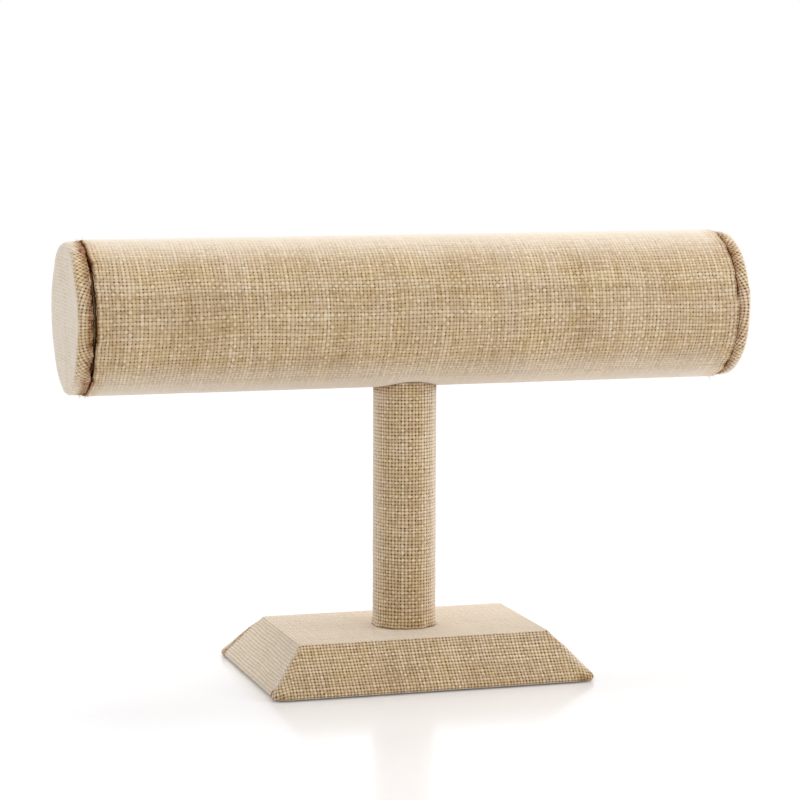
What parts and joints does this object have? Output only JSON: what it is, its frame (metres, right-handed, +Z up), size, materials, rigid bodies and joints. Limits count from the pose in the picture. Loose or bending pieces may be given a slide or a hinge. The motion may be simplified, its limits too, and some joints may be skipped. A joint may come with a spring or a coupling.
{
  "type": "bracelet display stand",
  "caption": "T-shaped jewellery stand: a linen-covered round bar on a linen-covered post and a bevelled rectangular base.",
  "frame": {"origin": "centre of the underside, on the table", "axes": "+X along the bar, +Y across the bar towards its back, +Z up"},
  "size_m": [0.23, 0.078, 0.1479],
  "materials": {
    "linen": "matte",
    "board": "matte",
    "wood": "matte",
    "felt": "matte",
    "steel": "satin"
  },
  "bodies": {
    "root": {"bar_tube": "board", "bar_cover": "linen", "left_cap_board": "board", "left_cap_cover": "linen", "left_cap_plug": "wood", "right_cap_board": "board", "right_cap_cover": "linen", "right_cap_plug": "wood", "post_core": "wood", "post_cover": "linen", "base_block": "wood", "base_cover": "linen", "base_pad": "felt", "bar_screw": "steel", "bar_washer": "steel", "base_screw": "steel", "base_washer": "steel"}
  },
  "joints": []
}
